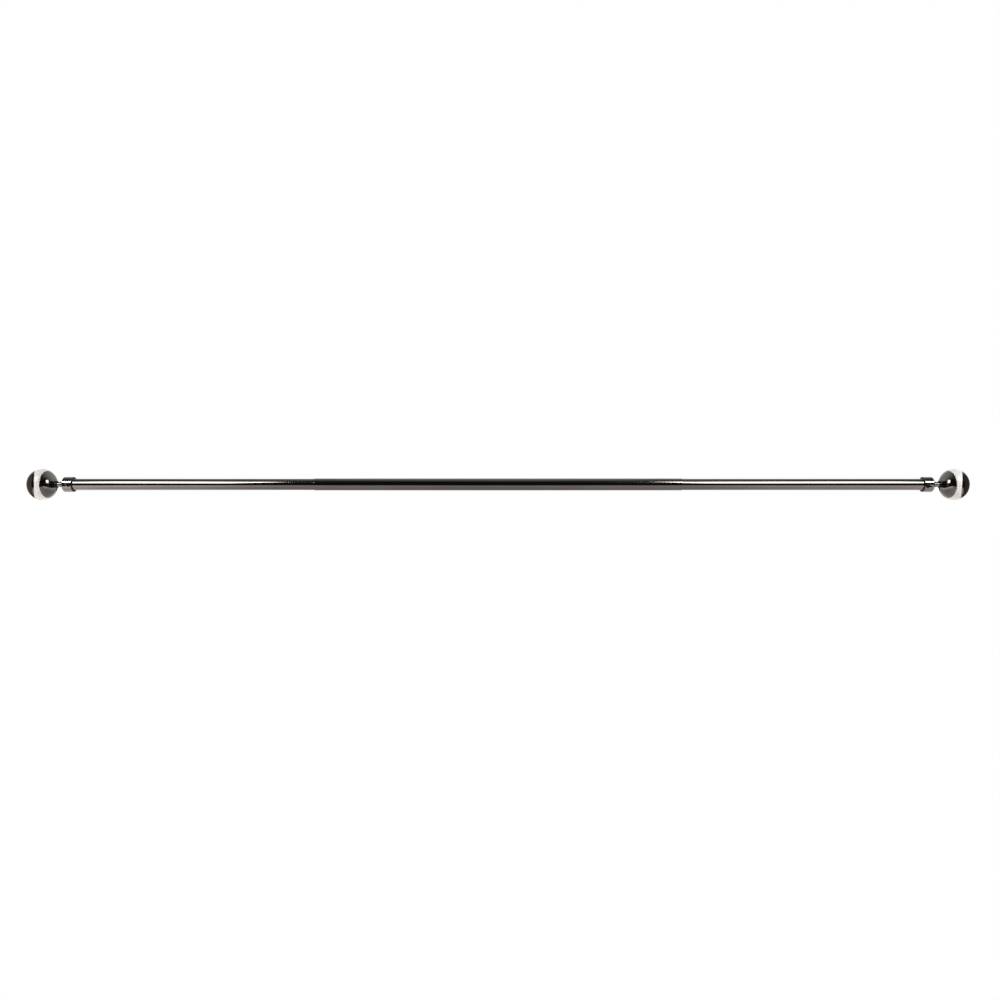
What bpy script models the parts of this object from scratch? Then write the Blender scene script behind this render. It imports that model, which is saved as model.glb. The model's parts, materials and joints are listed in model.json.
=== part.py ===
"""Telescoping curtain rod with a banded ball finial at each end.

Metres, +Z up, the rod along X with the room on the -Y side. The origin is the middle of the rod, on its axis.
Each end is modelled once in a frame whose +X points outward along the rod, and is used for both ends.
"""

import math

import bmesh
import bpy
from mathutils import Matrix, Vector

# Gap kept between pieces that touch or fit into each other.
FIT_GAP = 0.0003

# Centre tube and the two tubes that telescope into it.
CENTRE_LENGTH = 0.832
CENTRE_DIAMETER = 0.0272
CENTRE_WALL = 0.00055
SLIDE_DIAMETER = CENTRE_DIAMETER - 2 * (CENTRE_WALL + FIT_GAP)
SLIDE_WALL = 0.0006
SLIDE_OVERLAP = 0.100
TUBE_EDGE = 0.0002
TUBE_SIDES = 32

# Plastic glide at the inner end of each sliding tube.
GLIDE_GAP = 0.00015
GLIDE_FLANGE_LENGTH = 0.003
GLIDE_SPIGOT_LENGTH = 0.022
GLIDE_WALL = 0.0022
GLIDE_RIB_HEIGHT = 0.0006
GLIDE_RIBS = 3
GLIDE_SIDES = 24

# Collar that slips over the outer end of a sliding tube.
COLLAR_FACE = 0.9612
COLLAR_LENGTH = 0.0208
COLLAR_DIAMETER = 0.0338
COLLAR_BORE_DEPTH = 0.0140
COLLAR_END_WALL = 0.002
COLLAR_FACE_EDGE = 0.0006
COLLAR_END_ROUND = 0.0009
COLLAR_ROUND_STEPS = 4
NUT_RADIUS = 0.0062
NUT_FLANGE_RADIUS = 0.0080
NUT_FLANGE_LENGTH = 0.0012

# Set screw through the collar's front wall, and how far it is turned below the front.
SCREW_FROM_FACE = 0.0053
SCREW_SHANK_RADIUS = 0.0025
SCREW_HEAD_RADIUS = 0.0043
SCREW_HEAD_HEIGHT = 0.0016
SCREW_HEAD_EDGE = 0.0005
SCREW_TIP_LENGTH = 0.001
SCREW_TIP_RADIUS = 0.001
SOCKET_ACROSS_FLATS = 0.003
SOCKET_DEPTH = 0.0017
SCREW_TURN_DOWN = {"left": math.radians(5), "right": math.radians(14)}

# Stud through the finial, and the neck and washer that it clamps.
STUD_RADIUS = 0.003
STUD_START = 0.972
STUD_EDGE = 0.0005
NECK_RADIUS = 0.0056
NECK_FOOT_RADIUS = 0.0067
NECK_FOOT_LENGTH = 0.0018
NECK_FOOT_EDGE = 0.0007
NECK_BEAD_RADIUS = 0.0061
NECK_BEAD_LENGTH = 0.0024
NECK_BEAD_EDGE = 0.0006
WASHER_RADIUS = 0.0079
WASHER_LENGTH = 0.0040
WASHER_EDGE = 0.0004
WASHER_SEAT_STEPS = 3

# Ball finial: a slightly flattened ball, cut into two metal caps and a white wedge-shaped band.
BALL_CENTRE = 1.0334
BALL_RADIUS = 0.0352
BALL_HALF_LENGTH = 0.0306
CAP_WALL = 0.0012
INNER_CUT = 0.0150
INNER_CUT_ANGLE = math.radians(8)
OUTER_CUT = 0.0152
OUTER_CUT_ANGLE = math.radians(26)
SPIGOT_LENGTH = 0.0035
BAND_BORE_RADIUS = 0.0135
BALL_TURN_DOWN = {"left": 0.0, "right": math.radians(6)}
BALL_SIDES = 28
BALL_RINGS = 12
CAP_ARC_STEPS = 7
INNER_RIM_ALLOWANCE = 0.006

# Threaded boss inside the outer cap.
BOSS_RADIUS = 0.006
BOSS_START = 0.0206
BOSS_END = 0.0286
BOSS_FLOOR = 0.0015

# The left end's frame is turned half round about Y, so a turn down about its X axis is a negative one.
DOWNWARD = {"left": -1, "right": 1}

SMALL_SIDES = 16
SMOOTH_ANGLE = math.radians(35)

CENTRE_BORE_RADIUS = CENTRE_DIAMETER / 2 - CENTRE_WALL
SLIDE_RADIUS = SLIDE_DIAMETER / 2
SLIDE_BORE_RADIUS = SLIDE_RADIUS - SLIDE_WALL
SLIDE_START = CENTRE_LENGTH / 2 - SLIDE_OVERLAP
SLIDE_END = COLLAR_FACE + COLLAR_BORE_DEPTH - FIT_GAP
COLLAR_RADIUS = COLLAR_DIAMETER / 2
COLLAR_BORE_RADIUS = SLIDE_RADIUS + FIT_GAP
COLLAR_END = COLLAR_FACE + COLLAR_LENGTH
CLEAR_HOLE_RADIUS = STUD_RADIUS + FIT_GAP
STUD_END = BALL_CENTRE + BOSS_END - BOSS_FLOOR - FIT_GAP
SCREW_PLACE = COLLAR_FACE + SCREW_FROM_FACE
SCREW_HEAD_START = COLLAR_RADIUS + FIT_GAP
SCREW_HEAD_TOP = SCREW_HEAD_START + SCREW_HEAD_HEIGHT
CUTTER_OVERRUN = 0.002


def clear_scene():
    for obj in list(bpy.data.objects):
        bpy.data.objects.remove(obj, do_unlink=True)


def make_material(name, colour, roughness, metallic):
    material = bpy.data.materials.new(name)
    material.use_nodes = True
    material.diffuse_color = (*colour, 1)
    shader = material.node_tree.nodes["Principled BSDF"]
    shader.inputs["Base Color"].default_value = (*colour, 1)
    shader.inputs["Roughness"].default_value = roughness
    shader.inputs["Metallic"].default_value = metallic
    return material


def finish_mesh(bm, name):
    """Closes off a bmesh as a mesh with outward faces, smooth but for its edges."""
    bmesh.ops.remove_doubles(bm, verts=bm.verts, dist=1e-6)
    bmesh.ops.recalc_face_normals(bm, faces=bm.faces)
    mesh = bpy.data.meshes.new(name)
    bm.to_mesh(mesh)
    bm.free()
    mesh.shade_smooth()
    mesh.set_sharp_from_angle(angle=SMOOTH_ANGLE)
    return mesh


def turned(name, profile, sides, closed=True):
    """Spins a profile of (x, radius) points about the X axis. A closed profile makes a ring."""
    bm = bmesh.new()
    points = [bm.verts.new((x, 0, radius)) for x, radius in profile]
    edges = [bm.edges.new(pair) for pair in zip(points, points[1:])]
    if closed:
        edges.append(bm.edges.new((points[-1], points[0])))
    bmesh.ops.spin(
        bm, geom=points + edges, cent=(0, 0, 0), axis=(1, 0, 0), angle=math.tau, steps=sides, use_merge=True
    )
    return finish_mesh(bm, name)


def ellipse_arc(half_length, radius, start, end, steps):
    """Points of an ellipse in (x, radius), by the angle from the pole at -X."""
    angles = [start + (end - start) * i / steps for i in range(steps + 1)]
    return [(-half_length * math.cos(a), radius * math.sin(a)) for a in angles]


def chamfered_tube(start, end, inner, outer, edge):
    """Closed profile of a plain tube with its four edges chamfered."""
    return [
        (start + edge, inner), (start, inner + edge), (start, outer - edge), (start + edge, outer),
        (end - edge, outer), (end, outer - edge), (end, inner + edge), (end - edge, inner),
    ]


def ellipsoid(name, half_length, radius, cuts=()):
    """A ball flattened along X. Each cut is a plane (point, normal), and what its normal points to goes."""
    bm = bmesh.new()
    upright = Matrix.Rotation(math.pi / 2, 4, "Y")
    bmesh.ops.create_uvsphere(bm, u_segments=BALL_SIDES, v_segments=BALL_RINGS, radius=1, matrix=upright)
    bmesh.ops.scale(bm, vec=(half_length, radius, radius), verts=bm.verts)
    for point, normal in cuts:
        everything = bm.verts[:] + bm.edges[:] + bm.faces[:]
        cut = bmesh.ops.bisect_plane(bm, geom=everything, plane_co=point, plane_no=normal, clear_outer=True)
        rim = [item for item in cut["geom_cut"] if isinstance(item, bmesh.types.BMEdge)]
        bmesh.ops.contextual_create(bm, geom=rim)
    return finish_mesh(bm, name)


def prism(name, radius, start, end, sides):
    """A solid rod along X, used for cutters and sockets."""
    return turned(name, [(start, 0), (start, radius), (end, radius), (end, 0)], sides, closed=False)


def place(name, mesh, material, parent, location=(0, 0, 0)):
    obj = bpy.data.objects.new(name, mesh)
    bpy.context.scene.collection.objects.link(obj)
    obj.parent = parent
    obj.location = location
    if material and not mesh.materials:
        mesh.materials.append(material)
    return obj


def add_frame(name, parent=None, location=(0, 0, 0)):
    frame = bpy.data.objects.new(name, None)
    bpy.context.scene.collection.objects.link(frame)
    frame.parent = parent
    frame.location = location
    frame.empty_display_size = 0.02
    return frame


def cutter(name, mesh, parent, location=(0, 0, 0)):
    obj = place(name, mesh, None, parent, location)
    obj.hide_render = True
    obj.display_type = "WIRE"
    return obj


def boolean(obj, operation, other):
    modifier = obj.modifiers.new(operation.lower(), "BOOLEAN")
    modifier.operation = operation
    modifier.solver = "EXACT"
    modifier.object = other


def centre_tube_mesh():
    half = CENTRE_LENGTH / 2
    profile = chamfered_tube(-half, half, CENTRE_BORE_RADIUS, CENTRE_DIAMETER / 2, TUBE_EDGE)
    return turned("centre_tube", profile, TUBE_SIDES)


def slide_tube_mesh():
    profile = chamfered_tube(0, SLIDE_END - SLIDE_START, SLIDE_BORE_RADIUS, SLIDE_RADIUS, TUBE_EDGE)
    return turned("slide_tube", profile, TUBE_SIDES)


def glide_mesh():
    """Flange that rides in the centre tube, and a hollow ribbed spigot inside the sliding tube."""
    flange = CENTRE_BORE_RADIUS - GLIDE_GAP
    rib = SLIDE_BORE_RADIUS - FIT_GAP
    root = rib - GLIDE_RIB_HEIGHT
    bore = rib - GLIDE_WALL
    end = GLIDE_FLANGE_LENGTH + GLIDE_SPIGOT_LENGTH
    profile = [(0, bore), (0, flange), (GLIDE_FLANGE_LENGTH, flange), (GLIDE_FLANGE_LENGTH, rib)]
    rib_pitch = GLIDE_SPIGOT_LENGTH / (GLIDE_RIBS + 1)
    for number in range(1, GLIDE_RIBS + 1):
        x = GLIDE_FLANGE_LENGTH + rib_pitch * number
        profile += [(x - rib_pitch / 2, rib), (x - rib_pitch / 2, root), (x, root), (x, rib)]
    profile += [(end - GLIDE_RIB_HEIGHT, rib), (end, root), (end, bore)]
    return turned("glide", profile, GLIDE_SIDES)


def collar_mesh():
    """Cup with a bore for the tube, a stepped pocket for the nut and a clear hole for the stud."""
    pocket_end = COLLAR_LENGTH - COLLAR_END_WALL
    flange_end = COLLAR_BORE_DEPTH + NUT_FLANGE_LENGTH + FIT_GAP
    round_centre = COLLAR_LENGTH - COLLAR_END_ROUND
    profile = [
        (COLLAR_FACE_EDGE, COLLAR_BORE_RADIUS), (0, COLLAR_BORE_RADIUS + COLLAR_FACE_EDGE),
        (0, COLLAR_RADIUS - COLLAR_FACE_EDGE), (COLLAR_FACE_EDGE, COLLAR_RADIUS),
    ]
    for step in range(COLLAR_ROUND_STEPS + 1):
        angle = math.pi / 2 * step / COLLAR_ROUND_STEPS
        x = round_centre + COLLAR_END_ROUND * math.sin(angle)
        profile.append((x, COLLAR_RADIUS - COLLAR_END_ROUND * (1 - math.cos(angle))))
    profile += [
        (COLLAR_LENGTH, CLEAR_HOLE_RADIUS), (pocket_end, CLEAR_HOLE_RADIUS),
        (pocket_end, NUT_RADIUS + FIT_GAP), (flange_end, NUT_RADIUS + FIT_GAP),
        (flange_end, NUT_FLANGE_RADIUS + FIT_GAP), (COLLAR_BORE_DEPTH, NUT_FLANGE_RADIUS + FIT_GAP),
        (COLLAR_BORE_DEPTH, COLLAR_BORE_RADIUS),
    ]
    return turned("collar", profile, TUBE_SIDES)


def collar_nut_mesh():
    """Flanged round nut, pressed into the collar's pocket."""
    flange_end = COLLAR_BORE_DEPTH + NUT_FLANGE_LENGTH
    end = COLLAR_LENGTH - COLLAR_END_WALL - FIT_GAP
    profile = [
        (COLLAR_BORE_DEPTH, CLEAR_HOLE_RADIUS), (COLLAR_BORE_DEPTH, NUT_FLANGE_RADIUS),
        (flange_end, NUT_FLANGE_RADIUS), (flange_end, NUT_RADIUS),
        (end, NUT_RADIUS), (end, CLEAR_HOLE_RADIUS),
    ]
    return turned("collar_nut", profile, SMALL_SIDES)


def set_screw_mesh():
    """Cone-pointed screw with a low round head. X is its axis and x = 0 is the rod's axis."""
    tip = SLIDE_RADIUS + FIT_GAP
    profile = [
        (tip, 0), (tip, SCREW_TIP_RADIUS), (tip + SCREW_TIP_LENGTH, SCREW_SHANK_RADIUS),
        (SCREW_HEAD_START, SCREW_SHANK_RADIUS), (SCREW_HEAD_START, SCREW_HEAD_RADIUS),
        (SCREW_HEAD_TOP - SCREW_HEAD_EDGE, SCREW_HEAD_RADIUS),
        (SCREW_HEAD_TOP, SCREW_HEAD_RADIUS - SCREW_HEAD_EDGE), (SCREW_HEAD_TOP, 0),
    ]
    return turned("set_screw", profile, SMALL_SIDES, closed=False)


def neck_mesh():
    """Turned sleeve between collar and washer, with a foot and a bead."""
    end = BALL_CENTRE - BALL_HALF_LENGTH - WASHER_LENGTH - FIT_GAP - COLLAR_END - FIT_GAP
    bead_start = (NECK_FOOT_LENGTH + end - NECK_BEAD_LENGTH) / 2
    bead_end = bead_start + NECK_BEAD_LENGTH
    profile = [
        (0, CLEAR_HOLE_RADIUS), (0, NECK_FOOT_RADIUS), (NECK_FOOT_LENGTH - NECK_FOOT_EDGE, NECK_FOOT_RADIUS),
        (NECK_FOOT_LENGTH, NECK_RADIUS), (bead_start, NECK_RADIUS),
        (bead_start + NECK_BEAD_EDGE, NECK_BEAD_RADIUS), (bead_end - NECK_BEAD_EDGE, NECK_BEAD_RADIUS),
        (bead_end, NECK_RADIUS), (end, NECK_RADIUS), (end, CLEAR_HOLE_RADIUS),
    ]
    return turned("neck", profile, SMALL_SIDES)


def washer_mesh():
    """Washer whose outer face is cupped to sit on the ball. Its x is measured from the ball's centre."""
    half_length = BALL_HALF_LENGTH + FIT_GAP
    radius = BALL_RADIUS + FIT_GAP
    start = math.asin(CLEAR_HOLE_RADIUS / radius)
    end = math.asin(WASHER_RADIUS / radius)
    seat = ellipse_arc(half_length, radius, end, start, WASHER_SEAT_STEPS)
    back = -BALL_HALF_LENGTH - WASHER_LENGTH
    front = [
        (back, CLEAR_HOLE_RADIUS), (back, WASHER_RADIUS - WASHER_EDGE), (back + WASHER_EDGE, WASHER_RADIUS),
    ]
    return turned("hub_washer", front + seat, SMALL_SIDES)


def inner_cap_mesh():
    """Metal dome on the rod's side of the ball, with a hole at its pole, before its rim is cut."""
    edge = INNER_RIM_ALLOWANCE - INNER_CUT
    lining_length = BALL_HALF_LENGTH - CAP_WALL
    lining_radius = BALL_RADIUS - CAP_WALL
    outside = ellipse_arc(
        BALL_HALF_LENGTH, BALL_RADIUS,
        math.asin(CLEAR_HOLE_RADIUS / BALL_RADIUS), math.acos(-edge / BALL_HALF_LENGTH), CAP_ARC_STEPS,
    )
    inside = ellipse_arc(
        lining_length, lining_radius,
        math.acos(-edge / lining_length), math.asin(CLEAR_HOLE_RADIUS / lining_radius), CAP_ARC_STEPS,
    )
    return turned("inner_cap", outside + inside, BALL_SIDES)


def boss_mesh():
    """Threaded boss fixed inside the outer cap, blind at its outer end."""
    floor = BOSS_END - BOSS_FLOOR
    profile = [
        (floor, 0), (floor, CLEAR_HOLE_RADIUS), (BOSS_START, CLEAR_HOLE_RADIUS),
        (BOSS_START, BOSS_RADIUS), (BOSS_END, BOSS_RADIUS), (BOSS_END, 0),
    ]
    return turned("cap_boss", profile, SMALL_SIDES, closed=False)


def stud_mesh():
    length = STUD_END - STUD_START
    profile = [
        (0, 0), (0, STUD_RADIUS - STUD_EDGE), (STUD_EDGE, STUD_RADIUS),
        (length - STUD_EDGE, STUD_RADIUS), (length, STUD_RADIUS - STUD_EDGE), (length, 0),
    ]
    return turned("stud", profile, SMALL_SIDES, closed=False)


def cut_planes(margin):
    """The two planes that bound the band, moved apart by twice the margin."""
    outer_normal = Vector((math.cos(OUTER_CUT_ANGLE), -math.sin(OUTER_CUT_ANGLE), 0))
    inner_normal = Vector((-math.cos(INNER_CUT_ANGLE), -math.sin(INNER_CUT_ANGLE), 0))
    return [
        (inner_normal * (INNER_CUT + margin), inner_normal),
        (outer_normal * (OUTER_CUT + margin), outer_normal),
    ]


def shared_meshes():
    """Every shape that both ends use, by the name of its piece."""
    outer_point, outer_normal = cut_planes(FIT_GAP / 2)[1]
    spigot_half_length = BALL_HALF_LENGTH - CAP_WALL - FIT_GAP
    spigot_radius = BALL_RADIUS - CAP_WALL - FIT_GAP
    return {
        "slide_tube": slide_tube_mesh(),
        "glide": glide_mesh(),
        "collar": collar_mesh(),
        "collar_nut": collar_nut_mesh(),
        "set_screw": set_screw_mesh(),
        "neck": neck_mesh(),
        "hub_washer": washer_mesh(),
        "inner_cap": inner_cap_mesh(),
        "cap_boss": boss_mesh(),
        "stud": stud_mesh(),
        "outer_cap": ellipsoid("outer_cap", BALL_HALF_LENGTH, BALL_RADIUS, [(outer_point, -outer_normal)]),
        "band": ellipsoid("band", BALL_HALF_LENGTH, BALL_RADIUS, cut_planes(-FIT_GAP / 2)),
        "spigot": ellipsoid("spigot", spigot_half_length, spigot_radius, cut_planes(SPIGOT_LENGTH)),
        "lining": ellipsoid("lining", BALL_HALF_LENGTH - CAP_WALL, BALL_RADIUS - CAP_WALL),
        "inner_rim": prism("inner_rim", BALL_RADIUS + INNER_RIM_ALLOWANCE, 0, BALL_RADIUS, SMALL_SIDES),
        "band_bore": prism("band_bore", BAND_BORE_RADIUS, -BALL_RADIUS, BALL_RADIUS, SMALL_SIDES),
        "screw_hole": prism(
            "screw_hole", SCREW_SHANK_RADIUS + FIT_GAP,
            SLIDE_RADIUS - CUTTER_OVERRUN, COLLAR_RADIUS + CUTTER_OVERRUN, SMALL_SIDES,
        ),
        "socket": prism(
            "socket", SOCKET_ACROSS_FLATS / math.sqrt(3),
            SCREW_HEAD_TOP - SOCKET_DEPTH, SCREW_HEAD_TOP + CUTTER_OVERRUN, 6,
        ),
    }


def build_tube_end(side, frame, meshes, materials):
    """Glide, sliding tube, collar, nut and set screw of one end."""
    metal = materials["black_nickel"]
    place(f"{side}_slide_tube", meshes["slide_tube"], metal, frame, (SLIDE_START, 0, 0))
    glide_start = SLIDE_START - FIT_GAP - GLIDE_FLANGE_LENGTH
    place(f"{side}_glide", meshes["glide"], materials["nylon"], frame, (glide_start, 0, 0))

    collar = place(f"{side}_collar", meshes["collar"], metal, frame, (COLLAR_FACE, 0, 0))
    place(f"{side}_collar_nut", meshes["collar_nut"], materials["zinc"], frame, (COLLAR_FACE, 0, 0))

    screw_axis = add_frame(f"{side}_screw_axis", frame, (SCREW_PLACE, 0, 0))
    toward_room = Matrix.Rotation(-math.pi / 2, 3, "Z")
    turn_down = Matrix.Rotation(DOWNWARD[side] * SCREW_TURN_DOWN[side], 3, "X")
    screw_axis.rotation_euler = (turn_down @ toward_room).to_euler()
    screw = place(f"{side}_set_screw", meshes["set_screw"], materials["black_steel"], screw_axis)
    boolean(screw, "DIFFERENCE", cutter(f"{side}_socket_cutter", meshes["socket"], screw_axis))
    boolean(collar, "DIFFERENCE", cutter(f"{side}_screw_hole_cutter", meshes["screw_hole"], screw_axis))


def build_finial(side, frame, meshes, materials):
    """Stud, neck, washer and the three shells of the ball, about the ball's own centre."""
    metal = materials["black_nickel"]
    ball = add_frame(f"{side}_ball_axis", frame, (BALL_CENTRE, 0, 0))
    ball.rotation_euler.x = DOWNWARD[side] * BALL_TURN_DOWN[side]
    neck_start = COLLAR_END + FIT_GAP - BALL_CENTRE
    place(f"{side}_neck", meshes["neck"], metal, ball, (neck_start, 0, 0))
    place(f"{side}_hub_washer", meshes["hub_washer"], materials["black_steel"], ball)
    place(f"{side}_cap_boss", meshes["cap_boss"], materials["zinc"], ball)
    place(f"{side}_stud", meshes["stud"], materials["zinc"], ball, (STUD_START - BALL_CENTRE, 0, 0))

    inner_cap = place(f"{side}_inner_cap", meshes["inner_cap"], metal, ball)
    rim_place = cut_planes(FIT_GAP / 2)[0][0]
    rim_cutter = cutter(f"{side}_inner_rim_cutter", meshes["inner_rim"], ball, rim_place)
    rim_cutter.rotation_euler.z = INNER_CUT_ANGLE
    boolean(inner_cap, "DIFFERENCE", rim_cutter)

    outer_cap = place(f"{side}_outer_cap", meshes["outer_cap"], metal, ball)
    boolean(outer_cap, "DIFFERENCE", cutter(f"{side}_lining_cutter", meshes["lining"], ball))

    band = place(f"{side}_band", meshes["band"], materials["white_resin"], ball)
    boolean(band, "UNION", cutter(f"{side}_spigot_guide", meshes["spigot"], ball))
    boolean(band, "DIFFERENCE", cutter(f"{side}_band_bore_cutter", meshes["band_bore"], ball))


def main():
    clear_scene()
    materials = {
        "black_nickel": make_material("black_nickel", (0.14, 0.13, 0.12), 0.18, 1.0),
        "black_steel": make_material("black_steel", (0.03, 0.03, 0.03), 0.35, 1.0),
        "zinc": make_material("zinc", (0.60, 0.61, 0.62), 0.35, 1.0),
        "white_resin": make_material("white_resin", (0.86, 0.85, 0.81), 0.30, 0.0),
        "nylon": make_material("nylon", (0.80, 0.80, 0.77), 0.50, 0.0),
    }
    rod = add_frame("rod_axis")
    place("centre_tube", centre_tube_mesh(), materials["black_nickel"], rod)
    meshes = shared_meshes()
    for side in ("left", "right"):
        frame = add_frame(f"{side}_end", rod)
        frame.rotation_mode = "QUATERNION"
        if side == "left":
            frame.rotation_quaternion = (0, 0, 1, 0)
        build_tube_end(side, frame, meshes, materials)
        build_finial(side, frame, meshes, materials)


main()
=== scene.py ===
"""Looks of the telescoping curtain rod: finely turned pieces in metal, resin and nylon.

Metres, +Z up, the rod along X, the room on the -Y side. Each end is built in its own frame, with +X
pointing outward along the rod, and is placed at the right end or turned half round about Y for the left end.
"""
import json
import math

import bmesh
import bpy
from mathutils import Matrix, Vector


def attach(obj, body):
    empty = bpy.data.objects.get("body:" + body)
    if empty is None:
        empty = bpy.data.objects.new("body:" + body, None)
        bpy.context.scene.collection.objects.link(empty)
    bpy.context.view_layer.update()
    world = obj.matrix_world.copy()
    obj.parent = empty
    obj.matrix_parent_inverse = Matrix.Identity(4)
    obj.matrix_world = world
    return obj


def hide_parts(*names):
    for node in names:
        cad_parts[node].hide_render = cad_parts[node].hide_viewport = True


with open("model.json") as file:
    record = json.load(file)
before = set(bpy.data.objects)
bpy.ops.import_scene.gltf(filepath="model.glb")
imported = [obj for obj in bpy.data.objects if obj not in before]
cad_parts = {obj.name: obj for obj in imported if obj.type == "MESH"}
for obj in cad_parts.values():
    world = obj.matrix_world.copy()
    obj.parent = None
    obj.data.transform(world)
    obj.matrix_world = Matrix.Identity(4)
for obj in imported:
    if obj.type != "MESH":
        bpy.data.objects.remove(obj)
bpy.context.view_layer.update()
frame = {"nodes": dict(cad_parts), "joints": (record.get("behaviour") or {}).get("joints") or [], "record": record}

SIDES = ("left", "right")

# Sides of the large and small turned pieces, the set screw and the stud, and steps along a ball's arc.
FINE = 128
SMALL = 64
SCREW_SIDES = 96
STUD_SIDES = 32
ARC_STEPS = 40

# The radius below which a point is on the axis, and the angle above which an edge is sharp.
ON_AXIS = 1e-7
SHARP_ANGLE = math.radians(40)

# Camera: in front of the rod's middle and a little below its axis, level, with a fairly wide lens.
CAMERA_PLACE = (0.0043, -1.905, -0.0353)
CAMERA_LENS = 30.24
CAMERA_SENSOR = 36.0

# Sizes that the CAD solids' boxes don't give.
GAP = 0.0003
CENTRE_WALL = 0.00055
SLIDE_WALL = 0.0006
EDGE = 0.00025
INNER_EDGE = EDGE * 0.6
COLLAR_BORE_DEPTH = 0.0140
COLLAR_END_WALL = 0.002
COLLAR_END_ROUND = 0.0009
COLLAR_FACE_ROUND = 0.0005
NUT_RADIUS = 0.0062
NUT_FLANGE_RADIUS = 0.0080
NUT_FLANGE_LENGTH = 0.0012
STUD_RADIUS = 0.003
THREAD_PITCH = 0.001
THREAD_DEPTH = 0.00045
THREAD_RUN_OUT = 0.0012
RUN_OUT_DEPTH = THREAD_DEPTH * 1.2
NECK_RADIUS = 0.0056
NECK_FOOT_LENGTH = 0.0018
NECK_BEAD_RADIUS = 0.0061
NECK_BEAD_LENGTH = 0.0024
NECK_ROUND = 0.0004
WASHER_ROUND = 0.0005
SCREW_SHANK_RADIUS = 0.0025
SCREW_TIP_RADIUS = 0.001
SCREW_TIP_LENGTH = 0.001
SCREW_HEAD_HEIGHT = 0.0016
SCREW_HEAD_ROUND = 0.0006
SCREW_HOLE_RUN_OUT = 0.002
SOCKET_ACROSS_FLATS = 0.003
SOCKET_DEPTH = 0.0017
SOCKET_CHAMFER = 0.0002
SOCKET_TAPER = 0.98
CAP_WALL = 0.0012
INNER_CUT = 0.0150
INNER_CUT_ANGLE = math.radians(8)
OUTER_CUT = 0.0152
OUTER_CUT_ANGLE = math.radians(26)
SPIGOT_LENGTH = 0.0035
BOSS_FLOOR = 0.0015
BAND_BORE_RADIUS = 0.0135
BALL_TURN = {"left": 0.0, "right": math.radians(6)}
CLEAR_HOLE = STUD_RADIUS + GAP

# Values between which most of a noise lies.
NOISE_SPREAD = (0.3, 0.7)

# Floor: brightness by x, by y, and by how far out a place is. A place further back counts as further out.
FLOOR_Z = -0.95
FLOOR_SIZE = 12
FLOOR_TINT = (1.0, 0.95, 0.93)
FLOOR_STRENGTH = 2.2
FLOOR_ACROSS = (
    (-3.5, 0.08), (-2.9, 0.14), (-2.4, 0.45), (-2.0, 0.85), (-1.6, 0.95), (-1.2, 0.66), (-0.7, 0.41),
    (0, 0.33), (0.7, 0.42), (1.1, 0.57), (1.6, 0.70), (2.0, 0.62), (2.4, 0.34), (2.9, 0.12), (3.5, 0.08),
)
FLOOR_ALONG = ((-4, 0.03), (-2.9, 0.06), (-2.1, 0.95), (-0.8, 1.0), (-0.1, 0.8), (1.5, 0.95), (3, 0.85))
FLOOR_LEAN = 0.5
FLOOR_LEAN_MOST = 0.1
FLOOR_OUTWARD = ((0, 1.0), (1.75, 1.0), (2.2, 0.15), (4, 0.1))

# Bounce card overhead: brightness by how far back a place is, less where it is nearer an end.
CEILING_Z = 1.5
CEILING_SIZE = 8
CEILING_TINT = (0.98, 1.0, 0.93)
CEILING_LEAN = 0.4
CEILING_BACKWARD = ((-2, 0.02), (-1.0, 0.09), (-0.5, 0.28), (0, 0.54), (0.7, 0.78), (2, 0.9))

# Cards beyond the left (-1) and right (1) ends.
SIDE_CARD_X = 1.62
SIDE_CARD_Y = -0.05
SIDE_CARD_SIZE = (0.9, 0.8)
SIDE_CARD_TINT = (1.0, 0.85, 0.8)
SIDE_CARD_BRIGHTNESS = {-1: 0.26, 1: 0.12}

# Softboxes: distance to the side, width and power at the left (-1) and right (1) ends.
SOFTBOXES = {-1: (1.455, 0.83, 3.5), 1: (1.315, 1.09, 4.6)}
SOFTBOX_Y = -1.336
SOFTBOX_Z = 1.161
SOFTBOX_HEIGHT = 1.04
SOFTBOX_TARGET_X = 0.73
SOFTBOX_SPREAD = math.radians(50)

# Small softboxes, above and in front of each end, that face the other end's ball.
BALL_BOX_X = 1.03
BALL_BOX_Y = -0.36
BALL_BOX_Z = 0.68
BALL_BOX_SIZE = (0.70, 0.74)
BALL_BOX_POWER = 0.8
BALL_BOX_SPREAD = math.radians(44)

# Room: its colour by the part of a direction that goes backward and up.
ROOM_BACKWARD = (0, 0.7, 1.2)
ROOM_COLOURS = ((0.5, (0.026, 0.023, 0.022)), (0.95, (0.72, 0.73, 0.68)))


# ---------------------------------------------------------------- measuring the frame

def joint(name):
    return next(j for j in frame["joints"] if j["name"] == name)


def span(node, origin=(0, 0, 0), axis=(1, 0, 0)):
    """Lowest and highest place of a CAD node along an axis, and its radius about it."""
    origin, axis = Vector(origin), Vector(axis).normalized()
    along = []
    radii = []
    for vertex in frame["nodes"][node].data.vertices:
        offset = vertex.co - origin
        distance = offset.dot(axis)
        along.append(distance)
        radii.append((offset - axis * distance).length)
    return min(along), max(along), max(radii)


def end_span(node):
    """span() of a right-hand node along the rod, which the left-hand one mirrors."""
    return span(f"right_{node}")


# ---------------------------------------------------------------- mesh helpers

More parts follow.
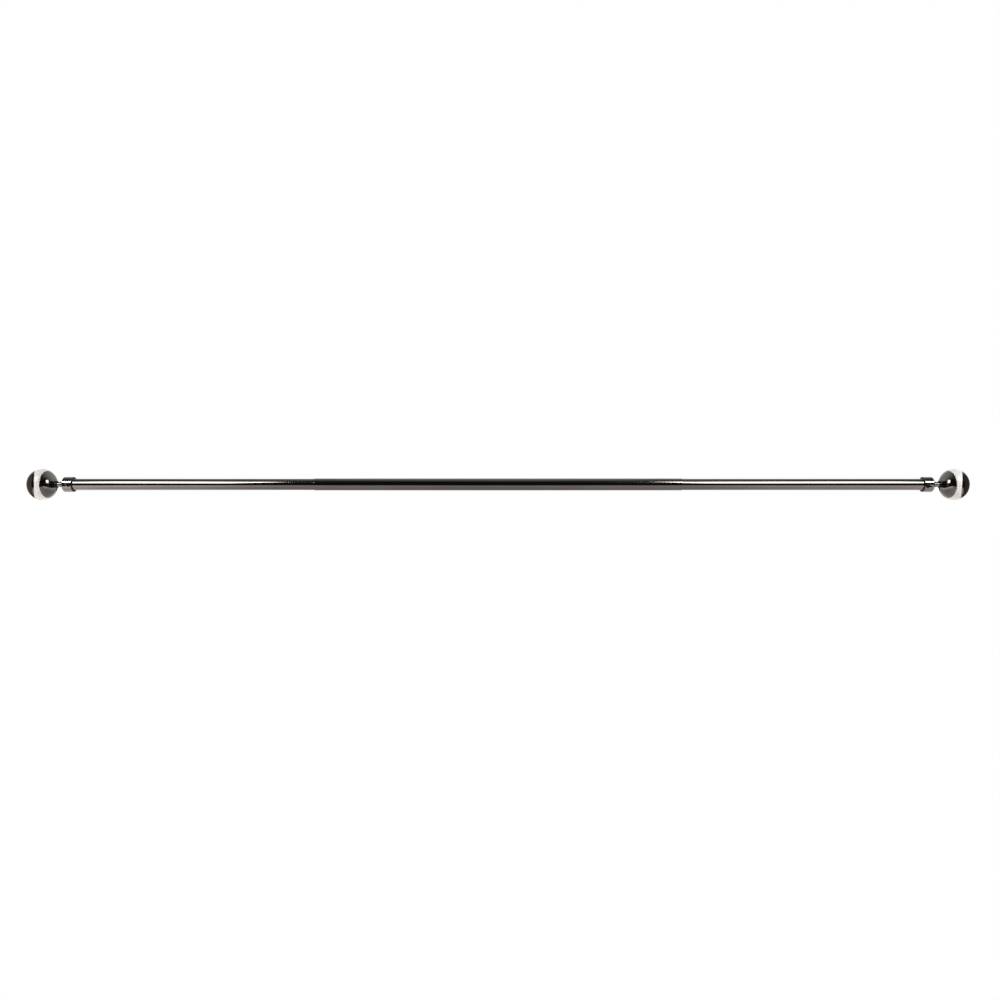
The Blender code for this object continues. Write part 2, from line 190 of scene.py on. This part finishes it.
def rounded(corners, steps):
    """Turns the (x, radius, rounding) corners of a closed outline into points, with an arc for a rounding.

    A point just beyond each end of an arc keeps the long face beside it evenly shaded.
    """
    points = []
    count = len(corners)
    for i, (x, r, rounding) in enumerate(corners):
        corner = Vector((x, r))
        if rounding <= 0:
            points.append((x, r))
            continue
        to_last = Vector(corners[i - 1][:2]) - corner
        to_next = Vector(corners[(i + 1) % count][:2]) - corner
        before = to_last.normalized()
        after = to_next.normalized()
        half = before.angle(after) / 2
        reach = rounding / math.tan(half)
        start = corner + before * reach
        end = corner + after * reach
        centre = corner + (before + after).normalized() * (rounding / math.sin(half))
        first = start - centre
        turn = first.angle_signed(end - centre)
        last_hold = min(rounding / 2, (to_last.length - reach) / 4)
        next_hold = min(rounding / 2, (to_next.length - reach) / 4)
        points.append(tuple(start + before * last_hold))
        for step in range(steps + 1):
            spoke = first.copy()
            spoke.rotate(Matrix.Rotation(-turn * step / steps, 2))
            points.append(tuple(centre + spoke))
        points.append(tuple(end + after * next_hold))
    return points


def spun(name, profile_at, sides, closed=True):
    """A solid of (x, radius) profiles round the X axis. profile_at gives the one at an angle from the front.

    A closed profile joins its two ends. Any other starts and ends on the axis.
    """
    bm = bmesh.new()
    rings = []
    poles = {}
    for side in range(sides):
        angle = math.tau * side / sides
        ring = []
        for i, (x, r) in enumerate(profile_at(angle)):
            if r < ON_AXIS:
                if i not in poles:
                    poles[i] = bm.verts.new((x, 0, 0))
                ring.append(poles[i])
            else:
                ring.append(bm.verts.new((x, -r * math.cos(angle), r * math.sin(angle))))
        rings.append(ring)
    length = len(rings[0])
    for side in range(sides):
        here = rings[side]
        there = rings[(side + 1) % sides]
        for i in range(length if closed else length - 1):
            j = (i + 1) % length
            corners = []
            for vertex in (here[i], here[j], there[j], there[i]):
                if vertex not in corners:
                    corners.append(vertex)
            bm.faces.new(corners)
    bmesh.ops.recalc_face_normals(bm, faces=bm.faces)
    mesh = bpy.data.meshes.new(name)
    bm.to_mesh(mesh)
    bm.free()
    mesh.shade_smooth()
    mesh.set_sharp_from_angle(angle=SHARP_ANGLE)
    return mesh


def turned(name, corners, sides=FINE, steps=4, closed=True):
    """A solid with the same rounded outline all round."""
    outline = rounded(corners, steps)
    return spun(name, lambda angle: outline, sides, closed)


def add_piece(name, shape, material, node, slot, matrix=Matrix.Identity(4)):
    """Puts a fine piece in the place of its CAD node, on the same body. The matrix goes into its mesh."""
    mesh = shape.copy()
    mesh.name = name
    mesh.transform(matrix)
    mesh.materials.append(material)
    obj = bpy.data.objects.new(name, mesh)
    bpy.context.scene.collection.objects.link(obj)
    body = next(b for b, members in frame["record"]["behaviour"]["bodies"].items() if node in members)
    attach(obj, body)
    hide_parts(node)
    return obj


def end_matrix(side):
    """The frame of one end: as it is on the right, turned half round about Y on the left."""
    return Matrix.Diagonal((-1, 1, -1, 1)) if side == "left" else Matrix.Identity(4)


def ball_matrix(side):
    turn = Matrix.Rotation(BALL_TURN[side], 4, "X")
    return end_matrix(side) @ Matrix.Translation((BALL_CENTRE, 0, 0)) @ turn


# ---------------------------------------------------------------- materials

class Nodes:
    """A Principled material with short calls for its texture nodes."""

    def __init__(self, name, values):
        self.material = bpy.data.materials.new(name)
        self.material.use_nodes = True
        self.tree = self.material.node_tree
        self.shader = self.tree.nodes["Principled BSDF"]
        for key, value in values.items():
            self.shader.inputs[key].default_value = value
        self.place = self.tree.nodes.new("ShaderNodeTexCoord").outputs["Object"]

    def link(self, source, target):
        self.tree.links.new(source, target)

    def noise(self, scale, detail, stretch=(1, 1, 1), distortion=0.0):
        mapping = self.tree.nodes.new("ShaderNodeMapping")
        mapping.inputs["Scale"].default_value = stretch
        self.link(self.place, mapping.inputs["Vector"])
        noise = self.tree.nodes.new("ShaderNodeTexNoise")
        noise.inputs["Scale"].default_value = scale
        noise.inputs["Detail"].default_value = detail
        noise.inputs["Distortion"].default_value = distortion
        self.link(mapping.outputs["Vector"], noise.inputs["Vector"])
        return noise.outputs["Fac"]

    def colour(self, source, first, second):
        """Base colour that a noise blends from two colours."""
        ramp = self.tree.nodes.new("ShaderNodeValToRGB")
        for element, position, colour in zip(ramp.color_ramp.elements, NOISE_SPREAD, (first, second)):
            element.position = position
            element.color = (*colour, 1)
        self.link(source, ramp.inputs["Fac"])
        self.link(ramp.outputs["Color"], self.shader.inputs["Base Color"])

    def roughness(self, source, low, high):
        """Roughness that a noise varies between two values."""
        spread = self.tree.nodes.new("ShaderNodeMapRange")
        ends = zip(("From Min", "From Max", "To Min", "To Max"), (*NOISE_SPREAD, low, high))
        for socket, value in ends:
            spread.inputs[socket].default_value = value
        self.link(source, spread.inputs["Value"])
        self.link(spread.outputs["Result"], self.shader.inputs["Roughness"])

    def bump(self, source, depth, strength):
        bump = self.tree.nodes.new("ShaderNodeBump")
        bump.inputs["Distance"].default_value = depth
        bump.inputs["Strength"].default_value = strength
        self.link(source, bump.inputs["Height"])
        self.link(bump.outputs["Normal"], self.shader.inputs["Normal"])


def varied(name, values, colour, roughness, bump):
    """A material whose colour, roughness and surface each follow a noise.

    Each of the three starts with its noise's settings. Then come two colours, the lowest and the highest
    roughness, or the bump's depth and strength.
    """
    nodes = Nodes(name, values)
    nodes.colour(nodes.noise(**colour[0]), *colour[1:])
    nodes.roughness(nodes.noise(**roughness[0]), *roughness[1:])
    nodes.bump(nodes.noise(**bump[0]), *bump[1:])
    return nodes.material


def black_nickel(name, stretch):
    """Polished dark plating. stretch sets the way of its faint polishing lines."""
    return varied(
        name, {"Metallic": 1.0},
        colour=({"scale": 14, "detail": 4}, (0.155, 0.143, 0.135), (0.175, 0.164, 0.156)),
        roughness=({"scale": 90, "detail": 5, "stretch": stretch}, 0.05, 0.10),
        bump=({"scale": 160, "detail": 3, "stretch": stretch}, 0.000004, 0.5),
    )


def blackened_steel():
    return varied(
        "blackened_steel", {"Metallic": 1.0},
        colour=({"scale": 300, "detail": 4}, (0.010, 0.009, 0.008), (0.030, 0.027, 0.024)),
        roughness=({"scale": 600, "detail": 4}, 0.30, 0.44),
        bump=({"scale": 900, "detail": 3}, 0.00001, 0.5),
    )


def zinc_plate():
    return varied(
        "zinc_plate", {"Metallic": 1.0},
        colour=({"scale": 250, "detail": 4}, (0.52, 0.53, 0.54), (0.66, 0.66, 0.64)),
        roughness=({"scale": 700, "detail": 4}, 0.25, 0.42),
        bump=({"scale": 1200, "detail": 3}, 0.00001, 0.5),
    )


def white_resin():
    """Polished off-white resin with faint clouds, and fine streaks as in mother-of-pearl."""
    return varied(
        "white_resin", {"IOR": 1.5},
        colour=({"scale": 60, "detail": 5, "distortion": 1.2}, (0.84, 0.825, 0.785), (0.93, 0.92, 0.88)),
        roughness=({"scale": 260, "detail": 4}, 0.28, 0.38),
        bump=({"scale": 260, "detail": 3, "stretch": (1, 0.4, 0.4)}, 0.00001, 0.4),
    )


def nylon():
    return varied(
        "nylon", {},
        colour=({"scale": 180, "detail": 3}, (0.74, 0.74, 0.70), (0.82, 0.82, 0.79)),
        roughness=({"scale": 500, "detail": 3}, 0.42, 0.58),
        bump=({"scale": 1500, "detail": 3}, 0.00002, 0.4),
    )


# ---------------------------------------------------------------- the tubes

def tube_mesh(name, start, end, radius, wall):
    corners = [
        (start, radius - wall, INNER_EDGE), (start, radius, EDGE),
        (end, radius, EDGE), (end, radius - wall, INNER_EDGE),
    ]
    return turned(name, corners)


def build_tubes(metal):
    start, end, radius = span("centre_tube")
    mesh = tube_mesh("centre_tube_fine", start, end, radius, CENTRE_WALL)
    add_piece("centre_tube_fine", mesh, metal, "centre_tube", "black_nickel")
    start, end, radius = end_span("slide_tube")
    mesh = tube_mesh("slide_tube_fine", start, end, radius, SLIDE_WALL)
    for side in SIDES:
        name = f"{side}_slide_tube"
        add_piece(f"{name}_fine", mesh, metal, name, "black_nickel", end_matrix(side))


# ---------------------------------------------------------------- collar, nut and set screw

def collar_mesh():
    face, end, radius = end_span("collar")
    bore = end_span("slide_tube")[2] + GAP
    shoulder = face + COLLAR_BORE_DEPTH
    flange_end = shoulder + NUT_FLANGE_LENGTH + GAP
    pocket_end = end - COLLAR_END_WALL
    corners = [
        (face, bore, EDGE), (face, radius, COLLAR_FACE_ROUND), (end, radius, COLLAR_END_ROUND),
        (end, CLEAR_HOLE, EDGE), (pocket_end, CLEAR_HOLE, 0), (pocket_end, NUT_RADIUS + GAP, 0),
        (flange_end, NUT_RADIUS + GAP, 0), (flange_end, NUT_FLANGE_RADIUS + GAP, 0),
        (shoulder, NUT_FLANGE_RADIUS + GAP, 0), (shoulder, bore, 0),
    ]
    return turned("collar_fine", corners, steps=8)


def nut_mesh():
    start, end, radius = end_span("collar_nut")
    flange_end = start + NUT_FLANGE_LENGTH
    corners = [
        (start, CLEAR_HOLE, EDGE), (start, radius, EDGE), (flange_end, radius, EDGE),
        (flange_end, NUT_RADIUS, 0), (end, NUT_RADIUS, EDGE), (end, CLEAR_HOLE, EDGE),
    ]
    return turned("collar_nut_fine", corners, SMALL)


def set_screw_mesh(tip, top, radius):
    """Cone-pointed screw along X with a low head and a hexagon socket, x measured from the rod's axis."""
    head = top - SCREW_HEAD_HEIGHT
    floor = top - SOCKET_DEPTH
    corners = [
        (floor, 0, 0), (tip, 0, 0), (tip, SCREW_TIP_RADIUS, 0),
        (tip + SCREW_TIP_LENGTH, SCREW_SHANK_RADIUS, 0), (head, SCREW_SHANK_RADIUS, 0),
        (head, radius, EDGE), (top, radius, SCREW_HEAD_ROUND),
    ]
    outside = rounded(corners, steps=4)[1:]

    def profile_at(angle):
        to_flat = (angle % (math.pi / 3)) - math.pi / 6
        socket = SOCKET_ACROSS_FLATS / 2 / math.cos(to_flat)
        lip = [(top, socket + SOCKET_CHAMFER), (top - SOCKET_CHAMFER, socket)]
        return outside + lip + [(floor, socket * SOCKET_TAPER), (floor, 0)]

    return spun("set_screw_fine", profile_at, SCREW_SIDES, closed=False)


def cut_screw_hole(obj, side):
    """Cuts the set screw's clear hole through the collar's wall."""
    turn = joint(f"{side}_set_screw_turn")
    start, end, _ = span(f"{side}_set_screw", turn["pos_m"], turn["axis"])
    start -= SCREW_HOLE_RUN_OUT
    end += SCREW_HOLE_RUN_OUT
    hole = SCREW_SHANK_RADIUS + GAP
    profile = [(start, 0), (start, hole), (end, hole), (end, 0)]
    mesh = spun("screw_hole", lambda angle: profile, SMALL, closed=False)
    cutter = bpy.data.objects.new(f"{side}_screw_hole_cutter", mesh)
    bpy.context.scene.collection.objects.link(cutter)
    cutter.matrix_world = axis_matrix(turn["pos_m"], turn["axis"])
    modifier = obj.modifiers.new("screw_hole", "BOOLEAN")
    modifier.object = cutter
    modifier.operation = "DIFFERENCE"
    modifier.solver = "EXACT"
    bpy.context.view_layer.update()
    cut = bpy.data.meshes.new_from_object(obj.evaluated_get(bpy.context.evaluated_depsgraph_get()))
    obj.modifiers.clear()
    obj.data = cut
    obj.data.name = obj.name
    bpy.data.objects.remove(cutter)


def axis_matrix(place, axis):
    """Puts X along a joint's axis, at its place."""
    turn = Vector((1, 0, 0)).rotation_difference(Vector(axis)).to_matrix().to_4x4()
    return Matrix.Translation(place) @ turn


def build_collars(metal, steel, zinc):
    collar = collar_mesh()
    nut = nut_mesh()
    for side in SIDES:
        name = f"{side}_collar"
        obj = add_piece(f"{name}_fine", collar, metal, name, "black_nickel", end_matrix(side))
        cut_screw_hole(obj, side)
        name = f"{side}_collar_nut"
        add_piece(f"{name}_fine", nut, zinc, name, "zinc", end_matrix(side))
        name = f"{side}_set_screw"
        turn = joint(f"{side}_set_screw_turn")
        screw = set_screw_mesh(*span(name, turn["pos_m"], turn["axis"]))
        matrix = axis_matrix(turn["pos_m"], turn["axis"])
        add_piece(f"{name}_fine", screw, steel, name, "black_steel", matrix)


# ---------------------------------------------------------------- the finial, about the ball's centre

BALL_CENTRE = joint("right_finial_unscrew")["pos_m"][0]
BALL_HALF_LENGTH = end_span("outer_cap")[1] - BALL_CENTRE
BALL_RADIUS = span("left_band")[2]


def ellipse_point(t, inset=0.0):
    """Point of the ball's outline, or of one inset from it, at an angle from the outer pole."""
    return (BALL_HALF_LENGTH - inset) * math.cos(t), (BALL_RADIUS - inset) * math.sin(t)


def outer_rim(angle, offset, inset=0.0):
    """Angle from the pole at which the slanting cut, moved outward by offset, meets the ball's outline."""
    along = math.cos(OUTER_CUT_ANGLE) * (BALL_HALF_LENGTH - inset)
    across = math.sin(OUTER_CUT_ANGLE) * math.cos(angle) * (BALL_RADIUS - inset)
    return math.atan2(across, along) + math.acos((OUTER_CUT + offset) / math.hypot(along, across))


def inner_rim(angle, offset, inset=0.0):
    """The same for the slighter slanting cut on the rod's side, moved towards the rod by offset."""
    along = -math.cos(INNER_CUT_ANGLE) * (BALL_HALF_LENGTH - inset)
    across = math.sin(INNER_CUT_ANGLE) * math.cos(angle) * (BALL_RADIUS - inset)
    return math.atan2(across, along) % math.tau - math.acos((INNER_CUT + offset) / math.hypot(along, across))


def hole_angle(radius, inset=0.0):
    """Angle from the outer pole at which a round hole on the rod's side meets the ball's outline."""
    return math.pi - math.asin(radius / (BALL_RADIUS - inset))


def arc(start, end, steps, inset=0.0):
    return [ellipse_point(start + (end - start) * i / steps, inset) for i in range(steps + 1)]


def with_rounding(points, roundings):
    """Gives the points of an outline the roundings stated by their place in it, and the rest none."""
    return [(x, r, roundings.get(i, 0)) for i, (x, r) in enumerate(points)]


def cap_outline(outside, inside):
    """Outline of a cap from its outer and inner arcs, with a rounded rim between them."""
    rim = len(outside) - 1
    return rounded(with_rounding(outside + inside, {rim: EDGE, rim + 1: INNER_EDGE}), steps=3)


def outer_cap_mesh():
    def profile_at(angle):
        outside = arc(0, outer_rim(angle, GAP / 2), ARC_STEPS)
        inside = arc(outer_rim(angle, GAP / 2, CAP_WALL), 0, ARC_STEPS, CAP_WALL)
        return cap_outline(outside, inside)

    return spun("outer_cap_fine", profile_at, FINE, closed=False)


def inner_cap_mesh():
    hole_outside = hole_angle(CLEAR_HOLE)
    hole_inside = hole_angle(CLEAR_HOLE, CAP_WALL)

    def profile_at(angle):
        outside = arc(hole_outside, inner_rim(angle, GAP / 2), ARC_STEPS)
        inside = arc(inner_rim(angle, GAP / 2, CAP_WALL), hole_inside, ARC_STEPS, CAP_WALL)
        return cap_outline(outside, inside)

    return spun("inner_cap_fine", profile_at, FINE)


def band_mesh():
    spigot = CAP_WALL + GAP
    spigot_steps = 4

    def profile_at(angle):
        outside = arc(outer_rim(angle, -GAP / 2), inner_rim(angle, -GAP / 2), ARC_STEPS)
        inner_spigot = arc(
            inner_rim(angle, -GAP / 2, spigot), inner_rim(angle, SPIGOT_LENGTH, spigot), spigot_steps, spigot
        )
        outer_spigot = arc(
            outer_rim(angle, SPIGOT_LENGTH, spigot), outer_rim(angle, -GAP / 2, spigot), spigot_steps, spigot
        )
        front = math.cos(angle) * BAND_BORE_RADIUS
        inner_slant = math.sin(INNER_CUT_ANGLE) * front
        outer_slant = math.sin(OUTER_CUT_ANGLE) * front
        bore = [
            ((inner_slant - INNER_CUT - SPIGOT_LENGTH) / math.cos(INNER_CUT_ANGLE), BAND_BORE_RADIUS),
            ((OUTER_CUT + SPIGOT_LENGTH - outer_slant) / math.cos(OUTER_CUT_ANGLE), BAND_BORE_RADIUS),
        ]
        points = outside + inner_spigot + bore + outer_spigot
        return rounded(with_rounding(points, {0: EDGE, ARC_STEPS: EDGE}), steps=3)

    return spun("band_fine", profile_at, FINE)


def neck_mesh():
    start, end, radius = end_span("neck")
    start, end = start - BALL_CENTRE, end - BALL_CENTRE
    foot = start + NECK_FOOT_LENGTH
    bead = (foot + end - NECK_BEAD_LENGTH) / 2
    bead_end = bead + NECK_BEAD_LENGTH
    corners = [
        (start, CLEAR_HOLE, 0), (start, radius, NECK_ROUND), (foot, radius, NECK_ROUND),
        (foot, NECK_RADIUS, NECK_ROUND / 2), (bead, NECK_RADIUS, NECK_ROUND / 2),
        (bead, NECK_BEAD_RADIUS, EDGE), (bead_end, NECK_BEAD_RADIUS, EDGE),
        (bead_end, NECK_RADIUS, NECK_ROUND / 2),
        (end, NECK_RADIUS, NECK_ROUND), (end, CLEAR_HOLE, 0),
    ]
    return turned("neck_fine", corners, SMALL)


def washer_mesh():
    start, _, radius = end_span("hub_washer")
    back = start - BALL_CENTRE
    seat = arc(hole_angle(radius, -GAP), hole_angle(CLEAR_HOLE, -GAP), steps=6, inset=-GAP)
    corners = [(back, CLEAR_HOLE, EDGE), (back, radius, WASHER_ROUND)] + [(x, r, 0) for x, r in seat]
    return turned("hub_washer_fine", corners, SMALL)


def boss_mesh():
    start, end, radius = end_span("cap_boss")
    start, end = start - BALL_CENTRE, end - BALL_CENTRE
    floor = end - BOSS_FLOOR
    corners = [
        (floor, 0, 0), (floor, CLEAR_HOLE, 0), (start, CLEAR_HOLE, EDGE), (start, radius, EDGE),
        (end, radius, EDGE), (end, 0, 0),
    ]
    return turned("cap_boss_fine", corners, SMALL, closed=False)


def stud_mesh():
    """Stud with a rolled thread along all of it, run out at both ends."""
    start, end, radius = end_span("stud")
    start, end = start - BALL_CENTRE, end - BALL_CENTRE
    points_per_turn = 6
    count = round((end - start) / THREAD_PITCH * points_per_turn)

    def profile_at(angle):
        points = [(start, 0)]
        for i in range(count + 1):
            x = start + (end - start) * i / count
            phase = (x / THREAD_PITCH + angle / math.tau) % 1
            depth = THREAD_DEPTH * abs(2 * phase - 1)
            taper = max(0, 1 - min(x - start, end - x) / THREAD_RUN_OUT)
            points.append((x, radius - max(depth, RUN_OUT_DEPTH * taper)))
        return points + [(end, 0)]

    return spun("stud_fine", profile_at, STUD_SIDES, closed=False)


def build_finials(materials):
    shapes = {
        "neck": (neck_mesh(), "black_nickel"),
        "hub_washer": (washer_mesh(), "black_steel"),
        "inner_cap": (inner_cap_mesh(), "black_nickel"),
        "band": (band_mesh(), "white_resin"),
        "outer_cap": (outer_cap_mesh(), "black_nickel"),
        "cap_boss": (boss_mesh(), "zinc"),
        "stud": (stud_mesh(), "zinc"),
    }
    for side in SIDES:
        for kind, (mesh, slot) in shapes.items():
            name = f"{side}_{kind}"
            add_piece(f"{name}_fine", mesh, materials[slot], name, slot, ball_matrix(side))


# ---------------------------------------------------------------- stage, light and camera

class Glow:
    """Emission material for the stage, painted by place. The camera sees white, reflections the painting.

    Rays find its large planes by themselves. Sampling them as lights as well would put grain on the resin.
    """

    def __init__(self, name):
        self.material = bpy.data.materials.new(name)
        self.material.use_nodes = True
        self.material.cycles.emission_sampling = "NONE"
        self.tree = self.material.node_tree
        self.tree.nodes.clear()
        position = self.new("ShaderNodeNewGeometry").outputs["Position"]
        split = self.new("ShaderNodeSeparateXYZ")
        self.link(position, split.inputs["Vector"])
        self.x = split.outputs["X"]
        self.y = split.outputs["Y"]

    def new(self, kind):
        return self.tree.nodes.new(kind)

    def link(self, source, target):
        self.tree.links.new(source, target)

    def maths(self, operation, first, second=None):
        node = self.new("ShaderNodeMath")
        node.operation = operation
        for socket, value in zip(node.inputs, (first, second)):
            if isinstance(value, (int, float)):
                socket.default_value = value
            elif value:
                self.link(value, socket)
        return node.outputs["Value"]

    def product(self, first, second):
        """Product of a brightness and another one or a tint."""
        node = self.new("ShaderNodeVectorMath")
        node.operation = "MULTIPLY"
        self.link(first, node.inputs[0])
        if isinstance(second, tuple):
            node.inputs[1].default_value = second
        else:
            self.link(second, node.inputs[1])
        return node.outputs["Vector"]

    def ramp(self, source, stops):
        """Brightness by a value, through (value, brightness) stops in rising order."""
        low = stops[0][0]
        length = stops[-1][0] - low
        node = self.new("ShaderNodeValToRGB")
        node.color_ramp.interpolation = "EASE"
        elements = node.color_ramp.elements
        for i, (place, brightness) in enumerate(stops):
            if i == 0:
                element = elements[0]
            elif i == len(stops) - 1:
                element = elements[-1]
            else:
                element = elements.new((place - low) / length)
            element.color = (brightness, brightness, brightness, 1)
        self.link(self.maths("DIVIDE", self.maths("SUBTRACT", source, low), length), node.inputs["Fac"])
        return node.outputs["Color"]

    def painted(self, brightness, tint, strength):
        """Ends the material: white to the camera, and the tint to the rest, with or without a brightness."""
        output = self.new("ShaderNodeOutputMaterial")
        mix = self.new("ShaderNodeMixShader")
        path = self.new("ShaderNodeLightPath")
        white = self.new("ShaderNodeEmission")
        reflected = self.new("ShaderNodeEmission")
        reflected.inputs["Color"].default_value = (*tint, 1)
        reflected.inputs["Strength"].default_value = strength
        if brightness:
            self.link(self.product(brightness, tint), reflected.inputs["Color"])
        self.link(path.outputs["Is Camera Ray"], mix.inputs["Fac"])
        self.link(reflected.outputs["Emission"], mix.inputs[1])
        self.link(white.outputs["Emission"], mix.inputs[2])
        self.link(mix.outputs["Shader"], output.inputs["Surface"])
        return self.material


def stage_plane(name, place, size, material, rotation=(0, 0, 0), seen=False):
    bm = bmesh.new()
    bmesh.ops.create_grid(bm, x_segments=1, y_segments=1, size=0.5)
    bmesh.ops.scale(bm, vec=(size[0], size[1], 1), verts=bm.verts)
    mesh = bpy.data.meshes.new(name)
    bm.to_mesh(mesh)
    bm.free()
    mesh.materials.append(material)
    obj = bpy.data.objects.new(name, mesh)
    bpy.context.scene.collection.objects.link(obj)
    obj.location = place
    obj.rotation_euler = rotation
    obj.visible_camera = seen


def build_floor():
    """Pale floor well below the rod, with a pool of light in front of each end and dark beyond the ends."""
    glow = Glow("pale_floor")
    across = glow.ramp(glow.x, FLOOR_ACROSS)
    along = glow.ramp(glow.y, FLOOR_ALONG)
    lean = glow.maths("MINIMUM", glow.maths("MULTIPLY", glow.y, FLOOR_LEAN), FLOOR_LEAN_MOST)
    outward = glow.maths("ADD", glow.maths("ABSOLUTE", glow.x), lean)
    shade = glow.ramp(outward, FLOOR_OUTWARD)
    brightness = glow.product(glow.product(across, along), shade)
    material = glow.painted(brightness, FLOOR_TINT, FLOOR_STRENGTH)
    stage_plane("floor", (0, 0, FLOOR_Z), (FLOOR_SIZE, FLOOR_SIZE), material, seen=True)


def build_ceiling():
    """Bounce card overhead and behind, dark towards the room."""
    glow = Glow("ceiling_card")
    spread = glow.maths("MULTIPLY", glow.maths("ABSOLUTE", glow.x), CEILING_LEAN)
    brightness = glow.ramp(glow.maths("SUBTRACT", glow.y, spread), CEILING_BACKWARD)
    material = glow.painted(brightness, CEILING_TINT, 1.0)
    stage_plane("ceiling", (0, 0, CEILING_Z), (CEILING_SIZE, CEILING_SIZE), material)


def build_side_cards():
    """Small dim cards beyond the ends, for the outer caps to reflect."""
    for sign, brightness in SIDE_CARD_BRIGHTNESS.items():
        material = Glow(f"side_card_{sign}").painted(None, SIDE_CARD_TINT, brightness)
        place = (sign * SIDE_CARD_X, SIDE_CARD_Y, 0)
        stage_plane(f"side_card_{sign}", place, SIDE_CARD_SIZE, material, (0, math.pi / 2, 0))


def emitter(name, place, target, size, power, spread, diffuse=True):
    """Area light that faces its target. With diffuse off, it shows only where a surface reflects it."""
    light = bpy.data.lights.new(name, "AREA")
    light.shape = "RECTANGLE"
    light.size, light.size_y = size
    light.energy = power
    light.spread = spread
    obj = bpy.data.objects.new(name, light)
    bpy.context.scene.collection.objects.link(obj)
    obj.location = place
    obj.rotation_euler = (Vector(target) - Vector(place)).to_track_quat("-Z", "Y").to_euler()
    obj.visible_camera = False
    obj.visible_diffuse = diffuse


def build_lights():
    """A softbox in front of each end, and a small one that faces the far ball. Both have a narrow spread."""
    for sign, (across, width, power) in SOFTBOXES.items():
        place = (sign * across, SOFTBOX_Y, SOFTBOX_Z)
        target = (sign * SOFTBOX_TARGET_X, 0, 0)
        emitter(f"softbox_{sign}", place, target, (width, SOFTBOX_HEIGHT), power, SOFTBOX_SPREAD)
        place = (sign * BALL_BOX_X, BALL_BOX_Y, BALL_BOX_Z)
        target = (-sign * BALL_CENTRE, 0, 0)
        emitter(
            f"far_ball_box_{sign}", place, target, BALL_BOX_SIZE, BALL_BOX_POWER, BALL_BOX_SPREAD,
            diffuse=False,
        )


def build_world():
    """White behind the object, and for the metal a dark room that is pale overhead and behind."""
    world = bpy.data.worlds.new("studio")
    world.use_nodes = True
    bpy.context.scene.world = world
    tree = world.node_tree
    tree.nodes.clear()
    output = tree.nodes.new("ShaderNodeOutputWorld")
    mix = tree.nodes.new("ShaderNodeMixShader")
    path = tree.nodes.new("ShaderNodeLightPath")
    seen = tree.nodes.new("ShaderNodeBackground")
    seen.inputs["Color"].default_value = (1, 1, 1, 1)
    room = tree.nodes.new("ShaderNodeBackground")
    direction = tree.nodes.new("ShaderNodeTexCoord")
    backward = tree.nodes.new("ShaderNodeVectorMath")
    backward.operation = "DOT_PRODUCT"
    backward.inputs[1].default_value = ROOM_BACKWARD
    ramp = tree.nodes.new("ShaderNodeValToRGB")
    ramp.color_ramp.interpolation = "EASE"
    for element, (position, colour) in zip(ramp.color_ramp.elements, ROOM_COLOURS):
        element.position = position
        element.color = (*colour, 1)
    tree.links.new(direction.outputs["Generated"], backward.inputs[0])
    tree.links.new(backward.outputs["Value"], ramp.inputs["Fac"])
    tree.links.new(ramp.outputs["Color"], room.inputs["Color"])
    tree.links.new(path.outputs["Is Camera Ray"], mix.inputs["Fac"])
    tree.links.new(room.outputs["Background"], mix.inputs[1])
    tree.links.new(seen.outputs["Background"], mix.inputs[2])
    tree.links.new(mix.outputs["Shader"], output.inputs["Surface"])


def build_camera():
    camera = bpy.data.objects.new("camera", bpy.data.cameras.new("camera"))
    bpy.context.scene.collection.objects.link(camera)
    camera.location = CAMERA_PLACE
    camera.rotation_euler = (math.pi / 2, 0, 0)
    camera.data.lens = CAMERA_LENS
    camera.data.sensor_width = CAMERA_SENSOR
    bpy.context.scene.camera = camera


def main():
    materials = {
        "black_nickel": black_nickel("black_nickel_ball", (1, 1, 1)),
        "black_steel": blackened_steel(),
        "zinc": zinc_plate(),
        "white_resin": white_resin(),
    }
    drawn = black_nickel("black_nickel_drawn", (0.05, 1, 1))
    build_camera()
    build_tubes(drawn)
    build_collars(drawn, materials["black_steel"], materials["zinc"])
    build_finials(materials)
    glide = nylon()
    for side in SIDES:
        node = frame["nodes"][f"{side}_glide"]
        node.data.materials.clear()
        node.data.materials.append(glide)
    build_floor()
    build_ceiling()
    build_side_cards()
    build_lights()
    build_world()
    bpy.context.scene.view_settings.view_transform = "Standard"


main()
